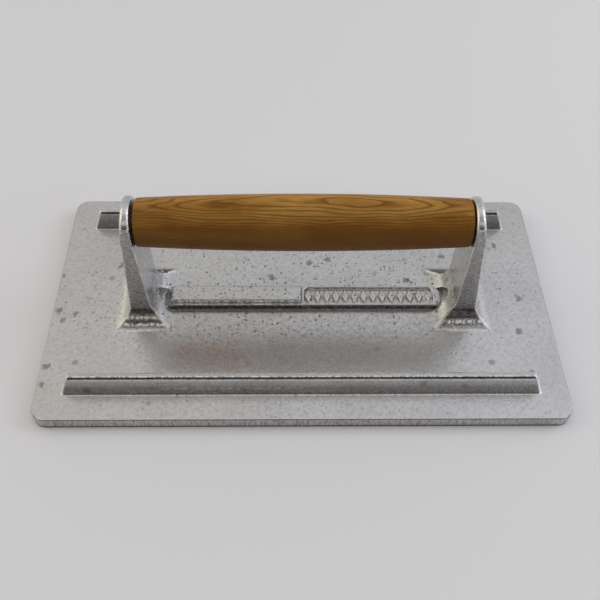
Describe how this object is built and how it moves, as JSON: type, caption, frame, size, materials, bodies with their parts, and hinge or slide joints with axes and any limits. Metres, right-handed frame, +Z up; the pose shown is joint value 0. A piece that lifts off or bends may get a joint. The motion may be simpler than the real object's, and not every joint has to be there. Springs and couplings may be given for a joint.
{
  "type": "patty press",
  "caption": "Hand-held flat patty and grill press: cast aluminium plate with raised ribs and flared uprights, and a turned wooden grip that spins on a riveted steel rod.",
  "frame": {"origin": "centre of the plate's flat underside", "axes": "+X along the plate's long side, parallel to the grip, with the recessed panel of the label bar towards +X; +Z up; -Y is the front"},
  "size_m": [0.2286, 0.127, 0.0701],
  "materials": {
    "cast_aluminium": "as cast and tumbled, dull satin with small pits and grey stains",
    "rod_steel": "plain drawn bar, ends hammered",
    "grip_wood": "turned hardwood, warm brown, satin lacquer worn by use"
  },
  "bodies": {
    "press_body": {"press_casting": "cast_aluminium", "handle_rod": "rod_steel"},
    "grip": {"wooden_grip": "grip_wood"}
  },
  "joints": [
    {"name": "grip_spin", "type": "hinge", "parent": "press_body", "child": "grip", "pos_m": [0, 0, 0.0582], "axis": [1, 0, 0], "continuous": true}
  ]
}
